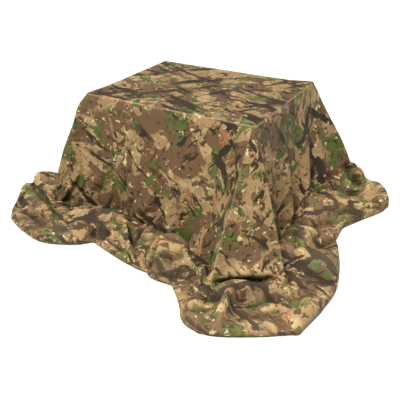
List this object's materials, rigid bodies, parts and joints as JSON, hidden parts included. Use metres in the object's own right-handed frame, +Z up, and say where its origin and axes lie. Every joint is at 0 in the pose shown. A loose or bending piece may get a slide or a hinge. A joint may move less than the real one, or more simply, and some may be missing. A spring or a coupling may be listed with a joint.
{
  "type": "camouflage net over box",
  "caption": "Close-woven camouflage net draped over a plain rectangular box, its skirts pooled on the floor in rounded, tucked-under folds.",
  "frame": {"origin": "centre of the box's underside, at the level of the floor", "axes": "+Z up; +X along the box's long side, towards the viewer's right; +Y towards the back; the view of the whole is from -Y and a little from +X"},
  "size_m": [1.6535, 1.566, 0.5587],
  "materials": {
    "net": null,
    "box": "plain sanded plywood"
  },
  "bodies": {
    "root": {"net": "net", "box": "box"}
  },
  "joints": []
}
